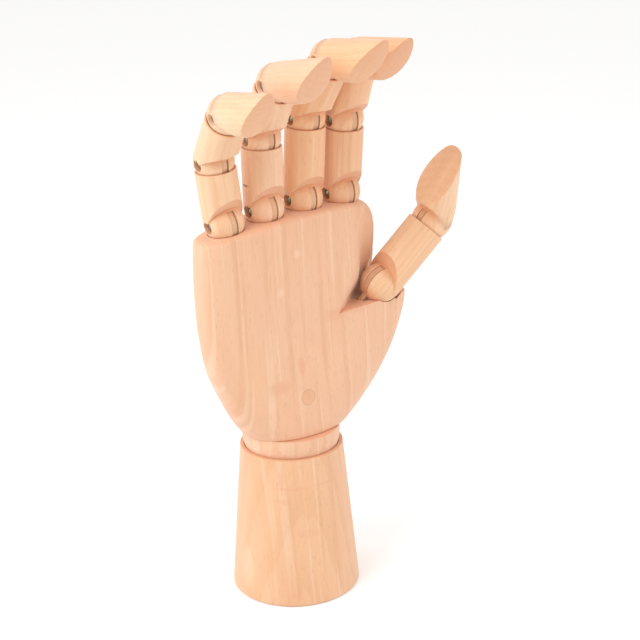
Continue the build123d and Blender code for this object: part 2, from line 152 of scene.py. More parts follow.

# Stains, scuffs, a knot and a painted shade beside the thumb's ball that the photograph shows, in
# millimetres: centre, size, colour, strength
PALM_SPOTS = [
    ((-2.9, -13.4, 100.0), (2.2, 9.0, 6.5), STAIN_RED, 0.75),
    ((-13.4, -13.6, 93.6), (7.0, 9.0, 4.0), STAIN_RED, 0.60),
    ((15.0, -12.5, 117.2), (8.0, 9.0, 3.6), STAIN_RED, 0.55),
    ((26.0, -11.0, 117.4), (7.0, 9.0, 2.0), STAIN_RED, 0.50),
    ((-1.5, -10.7, 145.4), (1.7, 7.0, 2.4), SCUFF_PALE, 0.38),
    ((-10.1, -11.3, 131.7), (2.0, 7.0, 2.6), SCUFF_PALE, 0.38),
    ((-24.0, -10.0, 101.0), (11.0, 14.0, 15.0), TAN_WARM, 0.30),
    # Painted shade: a soft darker patch in the hollow left of the thumb's ball, where the web's recess lies
    # in shadow
    ((33.3, -1.5, 122.5), (7.0, 9.0, 8.0), KNOT_AND_PAINTED_SHADE_BROWN, 0.34),
]
FOREARM_SPOTS = [
    ((-13.6, -17.3, 51.0), (9.0, 12.0, 1.0), STAIN_RED, 0.45),
    ((2.0, -21.8, 51.5), (10.0, 12.0, 0.9), STAIN_RED, 0.40),
    ((-16.0, -15.0, 54.5), (1.2, 12.0, 5.0), STAIN_RED, 0.40),
    ((-15.0, -16.0, 45.5), (6.0, 12.0, 1.6), STAIN_RED, 0.30),
    ((-8.0, -22.0, 31.5), (6.0, 9.0, 2.6), STAIN_RED, 0.34),
]
KNOT_SPOTS = [((-16.8, 0.6, 173.4), (0.5, 4.0, 0.7), KNOT_AND_PAINTED_SHADE_BROWN, 0.9)]

# The dark joint round the palm's plug
PLUG_RADIUS = 3.05 * MM
PLUG_JOINT = 0.14 * MM
PLUG_JOINT_SHARE = 0.6

# Metal: colours of the rivets, the steel and the brass, wear in two sizes, and relief
RIVET_GREY = (0.20, 0.20, 0.15)
STEEL_GREY = (0.42, 0.43, 0.44)
BRASS_YELLOW = (0.62, 0.46, 0.20)
RIVET_ROUGHNESS = 0.38
STEEL_ROUGHNESS = 0.30
METAL_WEAR = ((1, 1, 1), 900.0, 4.0, 0.65)
METAL_PATCHES = ((1, 1, 1), 2600.0, 2.0, 0.5)
METAL_SHIFT = Vector((1.0, 0.7, 0.0))
METAL_BRIGHTER = 2.1
METAL_DARKER = 0.45
WEAR_RAMP = (0.45, 0.72)
PATCH_RAMP = (0.55, 0.75)
PATCH_SHARE = 0.7
WEAR_ROUGHNESS_RAMP = (0.3, 0.8)
UNWORN_ROUGHNESS = 0.2
METAL_RELIEF = 0.3
METAL_RELIEF_DEPTH = 0.06 * MM

# Finger woods: the first seeds and their steps, and how far off the tree's middle lay, in metres
TONGUE_SEED = 30.0
SEED_FIRST = 5.0
SEED_PER_DIGIT = 3.7
SEED_PER_PIECE = 1.3
PITH_ACROSS = 0.012
PITH_BEHIND = 0.022
PITH_SWAY = 0.008

# Fingertips: how much steeper than the solids their pads are sliced, in degrees, how much of their
# width they lose from the pad's heel to the tip, and how far they bend, in degrees
FINGERTIPS = {
    "little": (9.0, 0.46, 0.0),
    "ring": (8.0, 0.46, 0.0),
    "middle": (7.0, 0.46, 0.0),
    "index": (8.0, 0.46, 0.0),
    "thumb": (3.0, 0.20, -8.0),
}
# The pad's eased edge, the points merged along its rim, how far the slice goes below the heel, and
# the wood that stays over the tongue inside
PAD_EDGE_ROUND = 0.45 * MM
PAD_EDGE_STEPS = 3
ROUND_PROFILE = 0.5
SAME_POINT = 0.001 * MM
RIM_MERGE = 0.5 * MM
HEEL_TRIM = 0.1 * MM
TONGUE_SKIN = 1.0 * MM
TIP_SHARP_ANGLE = math.radians(28.0)
# The rows of points that the taper and the bend move
TAPER_CURVE = 1.2
TAPER_ROWS = 8
BEND_FROM = 5.0 * MM
BEND_TO = 12.0 * MM
BEND_ROWS = 4
# How the pad's flat cut is found among the faces
FLAT_SIDE = 0.5
FLAT_SEEDS = 8
FLAT_LIKENESS = 0.9995
FLAT_DEPTH = 0.05 * MM

# The palm's edge behind the thumb, in millimetres. The solid's hollow over the web runs through to the
# back, and the real palm keeps its edge from the index finger down to the thumb.
# The rows follow the palm's own outline: height, then shares for the thumb side, the back and the
# forward lean, and squareness.
PALM_RIGHT = 51.5
PALM_DEPTH = 17.0
OUTLINE_ROWS = [
    (97.7, 0.893, 0.745, 0.370, 2.70),
    (107.8, 0.957, 0.705, 0.430, 2.90),
    (115.4, 0.995, 0.675, 0.470, 3.00),
    (125.3, 1.000, 0.660, 0.410, 3.10),
    (141.4, 0.895, 0.635, 0.180, 3.30),
    (153.0, 0.842, 0.620, 0.060, 3.40),
    (164.7, 0.815, 0.610, 0.000, 3.50),
]
OUTLINE_COLUMNS = (1, 2, 3, 4)
# The hollow's wall in the solid: for each height, its points from the palm's face to the back.
# They were measured on sections of the imported palm.
WALL_HEIGHTS = [112.0, 120.0, 136.0, 156.0, 162.0]
WALL_ACROSS = [
    [14.5, 20.5, 26.0, 31.5, 37.0, 40.7],
    [17.4, 22.5, 27.5, 32.5, 37.5, 40.7],
    [23.4, 27.2, 30.8, 34.4, 37.8, 40.4],
    [32.2, 33.9, 35.6, 37.1, 38.5, 39.8],
    [34.0, 35.3, 36.6, 37.8, 38.9, 39.9],
]
WALL_THROUGH = [
    [-12.8, -9.2, -5.4, -2.3, 0.4, 3.2],
    [-12.5, -8.8, -5.0, -1.9, 0.6, 3.2],
    [-11.8, -8.2, -4.6, -1.2, 1.4, 4.9],
    [-9.5, -7.1, -3.9, -1.1, 1.6, 5.0],
    [-9.3, -6.9, -3.7, -0.9, 1.8, 5.0],
]
# How far the hollow is filled, from the thumb's ball up to the palm's top
FILL_LOW = 121.0
FILL_HIGH = 150.0
FILL_LEAST = 0.03
FILL_MORE = 0.90
FILL_CURVE = 0.75
FILL_SQUARENESS = 2.6
# How far back the edge stands and where its back runs into the solid, low and high, as shares of the
# palm, and how far it stands inside the outline by height
EDGE_THROUGH = (0.21, 0.02)
BACK_ACROSS = (0.672, 0.712)
EDGE_INSET = [(113.0, 0.0), (138.0, 0.0), (146.0, 1.3), (153.0, 2.1), (160.2, 2.6)]
# The palm's arched top and the rounding of its rim
EDGE_LOW = 117.4
ARCH_TOP = 160.2
ARCH_MIDDLE = 10.0
ARCH_RADIUS = 256.0
FACE_ROUND = 2.4
CORNER_ROUND = 8.5
CORNER_FROM = 33.0
CORNER_TO = 40.0
CORNER_CORE = Vector((33.0, 2.0))
# How the edge starts under the palm's face, runs inside its wall and clears the index finger's seat
FEATHER = Vector((-2.2, 0.35))
WALL_INSIDE = Vector((-1.1, 1.1))
SEAT_RADIUS = 9.6
# How finely the edge is made
FRONT_STEPS = 18
BACK_STEPS = 10
STRAIGHT_ROWS = 26
ROUND_ROWS = 7
HALVINGS = 30
WEB_SHARP_ANGLE = math.radians(60.0)
# The room that the thumb's first bone needs, and the angles that it is tried at, in degrees
THUMB_ROOM = 8.9
THUMB_SWING = (0.0, -10.0, -20.0, -30.0, -40.0, -50.0)
THUMB_SWAY = (-4.0, 0.0, 4.0)
CLEAR_STEP = 0.25
CLEAR_STEPS = 60


class Tree:
    """Adds nodes to one material, each linked to what feeds it."""

    def __init__(self, name):
        self.material = bpy.data.materials.new(name)
        self.material.use_nodes = True
        self.nodes = self.material.node_tree.nodes
        self.links = self.material.node_tree.links
        self.shader = self.nodes["Principled BSDF"]

    def feed(self, socket, value):
        if isinstance(value, bpy.types.NodeSocket):
            self.links.new(value, socket)
        else:
            socket.default_value = value

    def node(self, kind, settings=None, **inputs):
        made = self.nodes.new("ShaderNode" + kind)
        for key, value in (settings or {}).items():
            setattr(made, key, value)
        for key, value in inputs.items():
            self.feed(made.inputs[key.replace("_", " ")], value)
        return made

    def maths(self, operation, *values):
        made = self.node("Math", {"operation": operation})
        for socket, value in zip(made.inputs, values):
            self.feed(socket, value)
        return made.outputs[0]

    def vector(self, operation, *values):
        made = self.node("VectorMath", {"operation": operation})
        for socket, value in zip(made.inputs, values):
            self.feed(socket, value)
        return made

    def ramp(self, value, edges, start=0.0, end=1.0):
        made = self.node("MapRange", {"interpolation_type": "SMOOTHSTEP"}, Value=value)
        self.feed(made.inputs["From Min"], edges[0])
        self.feed(made.inputs["From Max"], edges[1])
        self.feed(made.inputs["To Min"], start)
        self.feed(made.inputs["To Max"], end)
        return made.outputs["Result"]

    def mix(self, share, first, second):
        made = self.node("Mix", {"data_type": "RGBA"})
        self.feed(made.inputs["Factor"], share)
        for index, colour in ((6, first), (7, second)):
            if not isinstance(colour, bpy.types.NodeSocket):
                colour = (*colour, 1.0)
            self.feed(made.inputs[index], colour)
        return made.outputs[2]

    def mapped(self, place, turn=None, shift=(0, 0, 0), scale=(1, 1, 1)):
        """The place in axes turned by a matrix, then moved and scaled."""
        if turn is not None:
            angles = turn.to_euler("XYZ")
            place = self.node("Mapping", Vector=place, Rotation=tuple(angles)).outputs[0]
        return self.node("Mapping", Vector=place, Location=tuple(shift), Scale=tuple(scale)).outputs[0]

    def noise(self, place, pattern):
        """Noise in a named pattern: its stretch, fineness, detail and roughness."""
        stretch, fineness, detail, roughness = pattern
        made = self.node("TexNoise", Vector=self.mapped(place, scale=stretch), Scale=fineness, Detail=detail)
        made.inputs["Roughness"].default_value = roughness
        return made.outputs["Fac"]

    def relief(self, height, strength, depth):
        bump = self.node("Bump", Strength=strength, Distance=depth, Height=height)
        self.feed(self.shader.inputs["Normal"], bump.outputs[0])


def spot(tree, place, centre, size, ragged):
    """A ragged soft patch round a point, 1 in its middle and 0 outside."""
    offset = tree.vector("SUBTRACT", place, tuple(centre)).outputs[0]
    scaled = tree.vector("DIVIDE", offset, tuple(size)).outputs[0]
    length = tree.vector("LENGTH", scaled).outputs["Value"]
    uneven = tree.maths("ADD", length, tree.maths("MULTIPLY", ragged, SPOT_SPREAD))
    return tree.ramp(uneven, SPOT_RAMP, 1.0, 0.0)


def circle(tree, place, centre):
    """1 on the thin joint round a plug that runs through the palm, and 0 elsewhere."""
    flat = tree.mapped(place, shift=(-centre[0], 0.0, -centre[2]), scale=(1, 0, 1))
    length = tree.vector("LENGTH", flat).outputs["Value"]
    return tree.maths("COMPARE", length, PLUG_RADIUS, PLUG_JOINT)


def growth_rings(tree, grain, moved, pith, ring_width):
    """Growth rings: distance from the tree's middle, bent by slow waves along the grain."""
    from_pith = tree.mapped(grain, shift=(-pith[0], -pith[1], 0.0), scale=PITH_STRETCH)
    distance = tree.vector("LENGTH", from_pith).outputs["Value"]
    bend = tree.maths("MULTIPLY", tree.noise(moved, RING_BEND), BEND_WIDTH)
    wander = tree.maths("MULTIPLY", tree.noise(moved, RING_WANDER), WANDER_WIDTH)
    bent = tree.maths("ADD", tree.maths("ADD", distance, bend), wander)
    phase = tree.maths("FRACT", tree.maths("DIVIDE", bent, ring_width * MM))
    fall = tree.ramp(phase, RING_FALL, 1.0, 0.0)
    return tree.maths("MULTIPLY", tree.ramp(phase, RING_RISE), fall)


def end_grain(tree, grain_axes):
    """How far a face lies across the grain, from 0 to 1."""
    angles = tuple(grain_axes.to_euler("XYZ"))
    facing = tree.node("TexCoord").outputs["Normal"]
    turned = tree.node("Mapping", {"vector_type": "NORMAL"}, Vector=facing, Rotation=angles)
    split = tree.node("SeparateXYZ")
    tree.feed(split.inputs[0], turned.outputs[0])
    return tree.maths("ABSOLUTE", split.outputs["Z"])


def wood(
    name, seed, grain_axes, pith, tones,
    ring_width=2.6, spots=(), streak=1.0, end_tint=0.65, rings=0.3, plug=None,
):
    """Pale sanded beech: growth rings round a pith, fibres, short ray dashes, stains and handling, and on
    the palm a painted shade.

    grain_axes is the turn that brings the piece's grain onto Z, and pith is where the middle of the
    tree lay, in those axes and in metres. The rings are ring_width millimetres apart.
    """
    tree = Tree(name)
    here = tree.node("TexCoord").outputs["Object"]
    grain = tree.mapped(here, turn=grain_axes)
    moved = tree.mapped(grain, shift=SEED_SHIFT * seed)
    sheet = tree.mapped(moved, scale=SHEET_STRETCH)

    ring = growth_rings(tree, grain, moved, pith, ring_width)
    fibre = tree.noise(moved, FIBRES)
    streaks = tree.noise(sheet, STREAK_SHEETS)
    lines = tree.noise(tree.mapped(sheet, shift=LINE_SHIFT), LINE_SHEETS)
    dash = tree.ramp(tree.noise(moved, RAY_DASHES), DASH_RAMP)
    cloud = tree.noise(moved, CLOUDS)
    tint = tree.noise(moved, TINTS)

    pale, pink, tan = tones
    colour = tree.mix(tree.ramp(tint, TINT_RAMP), pale, pink)
    colour = tree.mix(tree.maths("MULTIPLY", ring, rings), colour, tan)
    colour = tree.mix(tree.ramp(streaks, STREAK_RAMP, 0.0, STREAK_SHARE * streak), colour, tan)
    colour = tree.mix(tree.ramp(lines, LINE_RAMP, 0.0, LINE_SHARE * streak), colour, SCUFF_PALE)
    colour = tree.mix(tree.ramp(fibre, FIBRE_RAMP, 0.0, FIBRE_SHARE), colour, FLECK_BROWN)
    colour = tree.mix(tree.maths("MULTIPLY", dash, DASH_SHARE), colour, FLECK_BROWN)
    colour = tree.mix(tree.ramp(cloud, CLOUD_RAMP, 0.0, CLOUD_SHARE), colour, STAIN_RED)

    # End grain drinks more lacquer: faces across the grain are darker and redder
    across = end_grain(tree, grain_axes)
    colour = tree.mix(tree.ramp(across, END_RAMP, 0.0, end_tint), colour, END_GRAIN_RED)

    ragged = tree.noise(here, RAGGED_EDGES)
    # The spots lay stains, scuffs and a knot, and on the palm a painted shade beside the thumb's ball
    for centre, size, shade, strength in spots:
        patch = spot(tree, here, Vector(centre) * MM, Vector(size) * MM, ragged)
        colour = tree.mix(tree.maths("MULTIPLY", patch, strength), colour, shade)
    if plug is not None:
        joint = tree.maths("MULTIPLY", circle(tree, here, plug), PLUG_JOINT_SHARE)
        colour = tree.mix(joint, colour, JOINT_BROWN)
    tree.feed(tree.shader.inputs["Base Color"], colour)

    rough = tree.maths("ADD", WOOD_ROUGHNESS, tree.maths("MULTIPLY", fibre, ROUGHNESS_FIBRE))
    rough = tree.maths("ADD", rough, tree.maths("MULTIPLY", cloud, ROUGHNESS_CLOUD))
    tree.feed(tree.shader.inputs["Roughness"], rough)
    tree.shader.inputs["Specular IOR Level"].default_value = WOOD_SHINE
    tree.shader.inputs["Sheen Weight"].default_value = WOOD_SHEEN
    tree.shader.inputs["Sheen Roughness"].default_value = SHEEN_ROUGHNESS

    height = tree.maths("MULTIPLY", fibre, RELIEF_FIBRE)
    height = tree.maths("ADD", height, tree.maths("MULTIPLY", dash, RELIEF_DASH))
    height = tree.maths("ADD", height, tree.maths("MULTIPLY", ring, RELIEF_RING))
    tree.relief(height, RELIEF_STRENGTH, RELIEF_DEPTH)
    return tree.material


def dull_metal(name, base, seed, rough):
    """Metal that has dulled, with brighter rubbed places."""
    tree = Tree(name)
    here = tree.mapped(tree.node("TexCoord").outputs["Object"], shift=METAL_SHIFT * seed)
    worn = tree.noise(here, METAL_WEAR)
    patch = tree.noise(here, METAL_PATCHES)
    bright = tuple(min(1.0, part * METAL_BRIGHTER) for part in base)
    dark = tuple(part * METAL_DARKER for part in base)
    colour = tree.mix(tree.ramp(worn, WEAR_RAMP), base, bright)
    colour = tree.mix(tree.ramp(patch, PATCH_RAMP, 0.0, PATCH_SHARE), colour, dark)
    tree.feed(tree.shader.inputs["Base Color"], colour)
    tree.shader.inputs["Metallic"].default_value = 1.0
    roughness = tree.ramp(worn, WEAR_ROUGHNESS_RAMP, rough + UNWORN_ROUGHNESS, rough)
    tree.feed(tree.shader.inputs["Roughness"], roughness)
    tree.relief(patch, METAL_RELIEF, METAL_RELIEF_DEPTH)
    return tree.material


def turn_to_z(direction, side):
    """The turn that brings a direction onto Z, and a side direction near X."""
    z = Vector(direction).normalized()
    x = Vector(side) - z * Vector(side).dot(z)
    x.normalize()
    return Matrix((x, z.cross(x), z)).to_3x3()


def finish_node(node, material):
    obj = frame["nodes"][node]
    obj.data.materials.clear()
    obj.data.materials.append(material)


def centre_of(node):
    low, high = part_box(node)
    return (Vector(low) + Vector(high)) / 2


joint_place = {}
joint_axis = {}
for joint in frame["record"]["behaviour"]["joints"]:
    joint_place[joint["name"]] = Vector(joint.get("pos_m") or (0, 0, 0))
    joint_axis[joint["name"]] = Vector(joint["axis"])

frame_body = {}
for body, nodes in frame["record"]["behaviour"]["bodies"].items():
    for node in nodes:
        frame_body[node] = body

UPRIGHT = Matrix.Identity(3)
PLUG_AXES = turn_to_z((0, -1, 0), (1, 0, 0))

palm_wood = wood(
    "palm_wood", seed=1.0, grain_axes=UPRIGHT, pith=(0.02, 0.11), tones=PALM_TONES, ring_width=3.2,
    spots=PALM_SPOTS, streak=1.2, end_tint=0.2, rings=0.10, plug=centre_of("palm_plug"),
)
ball_wood = wood(
    "wrist_ball_wood", seed=2.0, grain_axes=UPRIGHT, pith=(0.05, 0.07), tones=PALM_TONES, ring_width=2.8,
)
forearm_wood = wood(
    "forearm_wood", seed=3.0, grain_axes=UPRIGHT, pith=(0.012, 0.020), tones=FOREARM_TONES,
    ring_width=3.4, spots=FOREARM_SPOTS,
)
plug_wood = wood(
    "plug_wood", seed=4.0, grain_axes=PLUG_AXES, pith=(0.004, 0.003), tones=PALM_TONES,
    ring_width=1.1, end_tint=0.35,
)
dowel_wood = wood(
    "dowel_wood", seed=41.0, grain_axes=PLUG_AXES, pith=(0.01, 0.01), tones=TONGUE_TONES, ring_width=1.2,
)
rivet_steel = dull_metal("rivet_steel", RIVET_GREY, seed=0.4, rough=RIVET_ROUGHNESS)
spring_steel = dull_metal("spring_steel", STEEL_GREY, seed=1.3, rough=STEEL_ROUGHNESS)
washer_brass = dull_metal("washer_brass", BRASS_YELLOW, seed=2.1, rough=STEEL_ROUGHNESS)

finish_node("palm", palm_wood)
finish_node("wrist_ball", ball_wood)
finish_node("forearm", forearm_wood)
finish_node("palm_plug", plug_wood)
finish_node("wrist_cross_dowel", dowel_wood)
finish_node("wrist_cup_washer", washer_brass)
for node in frame["nodes"]:
    if node.endswith("rivet"):
        finish_node(node, rivet_steel)
    elif node.endswith("tail_pin") or node in ("wrist_stud", "wrist_nut", "wrist_spring", "wrist_washer"):
        finish_node(node, spring_steel)

# The grain of each finger piece runs along it, and the tongues' along the finger's first bone
distal_wood = {}
for index, (digit, tones) in enumerate(DIGIT_TONES.items()):
    names = [digit + "_proximal", digit + "_middle", digit + "_distal"]
    stops = [digit + "_knuckle", digit + "_middle_joint", digit + "_end_joint"]
    if digit == "thumb":
        del names[1], stops[1]
    stops = [joint_place[stop] for stop in stops]
    side = joint_axis[digit + "_end_joint"]
    for step, node in enumerate(names):
        end = stops[step + 1] if step + 1 < len(stops) else centre_of(node)
        axes = turn_to_z(end - stops[step], side)
        seed = SEED_FIRST + index * SEED_PER_DIGIT + step * SEED_PER_PIECE
        start = axes @ stops[step]
        pith_x = start.x + PITH_ACROSS * math.cos(seed)
        pith_y = start.y + PITH_BEHIND + PITH_SWAY * math.sin(seed)
        material = wood(
            node + "_wood", seed=seed, grain_axes=axes, pith=(pith_x, pith_y), tones=tones,
            ring_width=2.1, spots=KNOT_SPOTS if node == "ring_proximal" else (),
        )
        finish_node(node, material)
        distal_wood[digit] = material
    for node in frame["nodes"]:
        if node.startswith(digit) and node.endswith("tongue"):
            material = wood(
                node + "_wood", seed=TONGUE_SEED + index, grain_axes=turn_to_z(stops[1] - stops[0], side),
                pith=(0.03, 0.03), tones=TONGUE_TONES, ring_width=1.8,
            )
            finish_node(node, material)


def new_piece(name, mesh, body, material):
    """A modelled piece that rides on a body and takes the finish it is given."""
    mesh.materials.clear()
    mesh.materials.append(material)
    piece = bpy.data.objects.new(name, mesh)
    bpy.context.collection.objects.link(piece)
    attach(piece, body)
    return piece


def store(work, mesh, sharp_angle):
    """The finished shape, put into its mesh and shaded smooth but for its sharp edges."""
    bmesh.ops.triangulate(work, faces=[face for face in work.faces if len(face.verts) > QUAD])
    work.to_mesh(mesh)
    work.free()
    for face in mesh.polygons:
        face.use_smooth = True
    mesh.set_sharp_from_angle(angle=sharp_angle)


def flat_cut(mesh, axis, joint):
    """A fingertip's flat cut: its normal, and its point nearest the last joint."""
    sides = [face for face in mesh.polygons if abs(face.normal.dot(axis)) < FLAT_SIDE]
    seeds = sorted(sides, key=lambda face: face.area)[-FLAT_SEEDS:]
    groups = [
        [
            face
            for face in sides
            if face.normal.dot(seed.normal) > FLAT_LIKENESS
            and abs((face.center - seed.center).dot(seed.normal)) < FLAT_DEPTH
        ]
        for seed in seeds
    ]
    flat = max(groups, key=lambda faces: sum(face.area for face in faces))
    corners = [mesh.vertices[index].co for face in flat for index in face.vertices]
    return flat[0].normal.copy(), min(corners, key=lambda corner: (corner - joint).length)


def cut_across(work, place, normal, remove=False):
    """The shape cut by a plane, and what lies beyond it taken away on request."""
    return bmesh.ops.bisect_plane(
        work,
        geom=work.verts[:] + work.edges[:] + work.faces[:],
        plane_co=place,
        plane_no=normal,
        clear_outer=remove,
    )["geom_cut"]


def slice_pad(work, place, normal):
    """The pad sliced flat, closed again, and its rim eased."""
    cut = cut_across(work, place, normal, remove=True)
    edges = [part for part in cut if isinstance(part, bmesh.types.BMEdge)]
    points = dict.fromkeys(vertex for edge in edges for vertex in edge.verts)
    bmesh.ops.remove_doubles(work, verts=list(points), dist=RIM_MERGE)
    rim = [edge for edge in work.edges if edge.is_boundary]
    bmesh.ops.contextual_create(work, geom=rim)
    bmesh.ops.recalc_face_normals(work, faces=work.faces)
    bmesh.ops.bevel(
        work,
        geom=rim,
        offset=PAD_EDGE_ROUND,
        segments=PAD_EDGE_STEPS,
        affect="EDGES",
        profile=ROUND_PROFILE,
        clamp_overlap=True,
    )


def recut_fingertip(digit, steeper, taper, bend):
    """The distal piece again, its pad sliced at the photograph's steeper slant, tapered and bent."""
    node = digit + "_distal"
    axis = joint_axis[digit + "_end_joint"].normalized()
    joint = joint_place[digit + "_end_joint"]
    mesh = frame["nodes"][node].data.copy()
    normal, heel = flat_cut(mesh, axis, joint)
    reach = max((vertex.co for vertex in mesh.vertices), key=lambda place: (place - joint).length) - joint
    turns = [Matrix.Rotation(math.radians(angle), 3, axis) @ normal for angle in (steeper, -steeper)]
    slanted = max(turns, key=lambda turned: turned.dot(reach))
    ahead = (reach - axis * reach.dot(axis)).normalized()
    tongue = [vertex.co - joint for vertex in frame["nodes"][digit + "_end_tongue"].data.vertices]
    inner = max((arm - axis * arm.dot(axis)).length for arm in tongue if arm.dot(ahead) > 0)
    depth = max((heel - joint).dot(slanted) - HEEL_TRIM, inner + TONGUE_SKIN)

    work = bmesh.new()
    work.from_mesh(mesh)
    bmesh.ops.remove_doubles(work, verts=work.verts, dist=SAME_POINT)
    slice_pad(work, joint + slanted * depth, slanted)
    start = (heel - joint).dot(ahead)
    length = max((vertex.co - joint).dot(ahead) for vertex in work.verts) - start
    for step in range(1, BEND_ROWS + 1):
        cut_across(work, joint + ahead * (BEND_FROM + (BEND_TO - BEND_FROM) * step / BEND_ROWS), ahead)
    for step in range(TAPER_ROWS):
        cut_across(work, joint + ahead * (start + length * step / TAPER_ROWS), ahead)

    root = joint + ahead * BEND_FROM
    for vertex in work.verts:
        share = ((vertex.co - joint).dot(ahead) - start) / length
        if share > 0:
            aside = (vertex.co - joint).dot(axis)
            vertex.co -= axis * aside * taper * share**TAPER_CURVE
        out = ((vertex.co - joint).dot(ahead) - BEND_FROM) / (BEND_TO - BEND_FROM)
        turn = Matrix.Rotation(math.radians(bend) * min(max(out, 0.0), 1.0), 3, axis)
        vertex.co = root + turn @ (vertex.co - root)
    store(work, mesh, TIP_SHARP_ANGLE)
    piece = new_piece(digit + "_fingertip", mesh, frame_body[node], distal_wood[digit])
    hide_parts(node)


def between(rows, place):
    """A value read from (place, value) rows, on a smooth curve through them."""
    index = max(i for i in range(len(rows) - 1) if rows[i][0] <= place or i == 0)
    before = rows[max(index - 1, 0)]
    low = rows[index]
    high = rows[index + 1]
    after = rows[min(index + 2, len(rows) - 1)]
    step = (place - low[0]) / (high[0] - low[0])
    leave = (high[1] - before[1]) / (high[0] - before[0]) * (high[0] - low[0])
    reach = (after[1] - low[1]) / (after[0] - low[0]) * (high[0] - low[0])
    square = step * step
    cube = square * step
    return (
        low[1] * (2 * cube - 3 * square + 1)
        + leave * (cube - 2 * square + step)
        + high[1] * (3 * square - 2 * cube)
        + reach * (cube - square)
    )


def blend(low, high, share):
    return low + (high - low) * share


def limited(share):
    return min(max(share, 0.0), 1.0)


def palm_point(angle, height):
    """A point of the palm's outline at a height: 0 is the thumb side, a quarter turn is the back."""
    right, back, lean, squareness = [
        between([(row[0], row[column]) for row in OUTLINE_ROWS], height) for column in OUTLINE_COLUMNS
    ]
    across = abs(math.cos(angle)) ** (2 / squareness)
    through = abs(math.sin(angle)) ** (2 / squareness)
    inset = between(EDGE_INSET, height)
    return across * (PALM_RIGHT * right - inset), PALM_DEPTH * (through * back - lean * across**2)


def outline_angle(height, reached):
    """The angle at which the outline first passes a test, found by halving."""
    low = 0.0
    high = math.pi / 2
    for _ in range(HALVINGS):
        middle = (low + high) / 2
        if reached(*palm_point(middle, height)):
            high = middle
        else:
            low = middle
    return high


def wall_point(share, height):
    """A point of the hollow's wall in the solid."""
    place = []
    for table in (WALL_ACROSS, WALL_THROUGH):
        points = [between(list(zip(WALL_HEIGHTS, column)), height) for column in zip(*table)]
        steps = [index / (len(points) - 1) for index in range(len(points))]
        place.append(between(list(zip(steps, points)), share))
    return Vector(place)


def seat_clear(point, height):
    """The point, pushed out of the seat of the index finger's ball."""
    seat = joint_place["index_knuckle"] / MM
    room = SEAT_RADIUS**2 - (height - seat.z) ** 2
    offset = point - seat.xy
    if room <= 0 or offset.length_squared >= room:
        return point
    return seat.xy + offset.normalized() * math.sqrt(room)


def thumb_bones():
    """The thumb's first bone, end to end, over the range of its knuckle and of its sway."""
    root = joint_place["thumb_knuckle"] / MM
    tip = joint_place["thumb_end_joint"] / MM
    tail = joint_place["thumb_splay"] / MM
    swing = joint_axis["thumb_knuckle"].normalized()
    sway = joint_axis["thumb_splay"].normalized()
    bones = []
    for closed in THUMB_SWING:
        turned = root + Matrix.Rotation(math.radians(closed), 3, swing) @ (tip - root)
        for aside in THUMB_SWAY:
            turn = Matrix.Rotation(math.radians(aside), 3, sway)
            bones.append((tail + turn @ (root - tail), tail + turn @ (turned - tail)))
    return bones


def thumb_clear(point, height, bones):
    """The point, moved back until the thumb's bone passes clear of it at every angle."""
    place = Vector((point.x, point.y, height))
    for _ in range(CLEAR_STEPS):
        gaps = []
        for start, end in bones:
            share = limited((place - start).dot(end - start) / (end - start).length_squared)
            gaps.append((place - start - (end - start) * share).length)
        if min(gaps) >= THUMB_ROOM:
            break
        place.y += CLEAR_STEP
    return place.xy


def web_row(height, bones):
    """One closed outline of the web's edge: the hollow's face, the palm's own back, and inside."""
    share = (height - EDGE_LOW) / (ARCH_TOP - EDGE_LOW)
    side = PALM_DEPTH * blend(*EDGE_THROUGH, share)
    back = PALM_RIGHT * blend(*BACK_ACROSS, share)
    first = outline_angle(height, lambda x, y: y > side)
    last = outline_angle(height, lambda x, y: x < back)
    edge = Vector(palm_point(first, height))
    face = wall_point(0.0, height)
    rise = limited((height - FILL_LOW) / (FILL_HIGH - FILL_LOW))
    fill = FILL_LEAST + FILL_MORE * rise**FILL_CURVE
    points = [face + FEATHER]
    for index in range(FRONT_STEPS):
        turn = math.pi / 2 * index / FRONT_STEPS
        full_x = face.x + (edge.x - face.x) * math.sin(turn) ** (2 / FILL_SQUARENESS)
        full_y = edge.y + (face.y - edge.y) * math.cos(turn) ** (2 / FILL_SQUARENESS)
        hollow = wall_point(index / FRONT_STEPS, height)
        filled = blend(hollow, Vector((full_x, full_y)), fill)
        points.append(thumb_clear(filled, height, bones))
    for index in range(BACK_STEPS + 1):
        points.append(Vector(palm_point(blend(first, last, index / BACK_STEPS), height)))
    for index in range(FRONT_STEPS, -1, -1):
        points.append(seat_clear(wall_point(index / FRONT_STEPS, height) + WALL_INSIDE, height))
    return points


def arch_height(x):
    """The height of the palm's arched top."""
    return ARCH_TOP - ARCH_RADIUS + math.sqrt(ARCH_RADIUS**2 - (x - ARCH_MIDDLE) ** 2)


def top_round(x):
    """The rounding of the palm's top edge, larger at its corner."""
    share = limited((x - CORNER_FROM) / (CORNER_TO - CORNER_FROM))
    return blend(FACE_ROUND, CORNER_ROUND, share**2 * (3 - 2 * share))


def web_rows():
    """The web edge's outlines from its foot up to the arched top, and in over the rounded rim."""
    bones = thumb_bones()
    rows = []
    for step in range(STRAIGHT_ROWS + 1):
        height = blend(EDGE_LOW, ARCH_TOP - CORNER_ROUND, step / STRAIGHT_ROWS)
        row = []
        for point in web_row(height, bones):
            drop = (ARCH_TOP - arch_height(point.x)) * step / STRAIGHT_ROWS
            row.append((point, height - drop))
        rows.append(row)
    rim = web_row(ARCH_TOP - CORNER_ROUND, bones)
    for step in range(1, ROUND_ROWS + 1):
        turn = math.pi / 2 * step / ROUND_ROWS
        row = []
        for point in rim:
            size = top_round(point.x)
            inward = (CORNER_CORE - point).normalized() * size * (1 - math.cos(turn))
            row.append((point + inward, arch_height(point.x) - size * (1 - math.sin(turn))))
        rows.append(row)
    return rows


